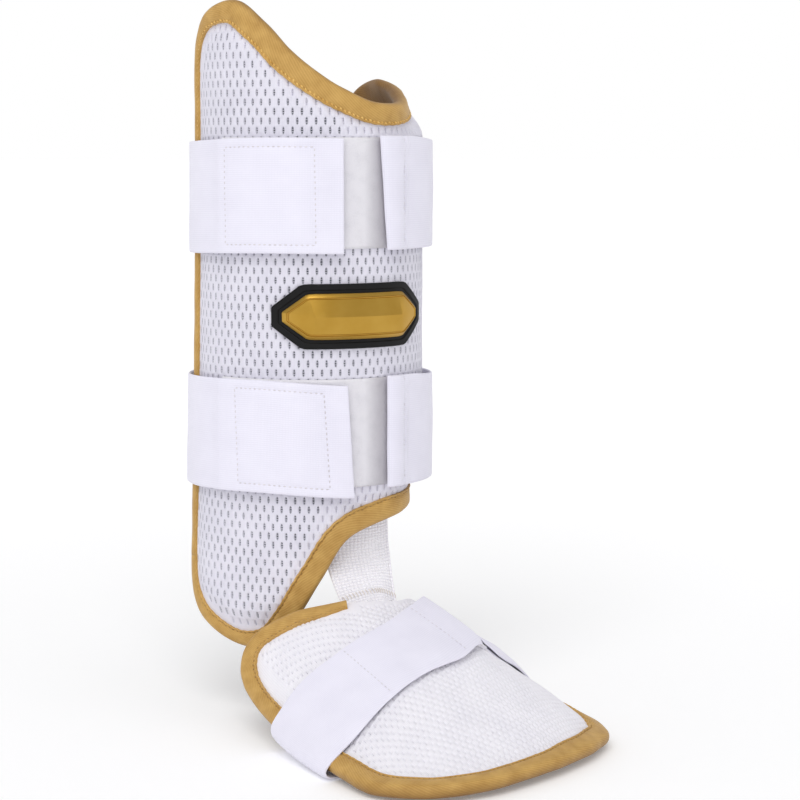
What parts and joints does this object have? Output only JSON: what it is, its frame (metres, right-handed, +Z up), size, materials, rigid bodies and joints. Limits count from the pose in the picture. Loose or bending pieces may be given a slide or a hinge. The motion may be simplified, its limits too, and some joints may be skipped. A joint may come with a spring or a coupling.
{
  "type": "batter's leg guard",
  "caption": "Padded shin shell with a taped edge, elastic straps round the leg and a domed foot pad hung on webbing, worn by a batter on the left leg.",
  "frame": {"origin": "on the axis of the leg that the guard goes round, midway between the two leg straps", "axes": "+Z up the leg, toes towards -Y, the outer side of the leg towards +X"},
  "size_m": [0.1683, 0.2756, 0.3815],
  "materials": {
    "mesh": "white open mesh over foam",
    "lining": "dark brushed lining",
    "tape": "gold twill tape",
    "elastic": "white knitted elastic",
    "loop": "pale grey loop pile",
    "hook": "white hook patch",
    "rubber": "black moulded rubber",
    "gold": "satin gold",
    "webbing": "white open-weave webbing"
  },
  "bodies": {
    "root": {"shin_shell": "mesh", "shell_lining": "lining", "shell_binding": "tape", "upper_strap": "elastic", "upper_loop_band": "loop", "upper_hook_patch": "hook", "lower_strap": "elastic", "lower_loop_band": "loop", "lower_hook_patch": "hook", "badge_base": "rubber", "badge_plate": "gold", "foot_pad": "mesh", "foot_binding": "tape", "foot_strap": "elastic", "foot_loop_band": "loop", "foot_hook_patch": "hook", "ankle_webbing": "webbing"}
  },
  "joints": []
}
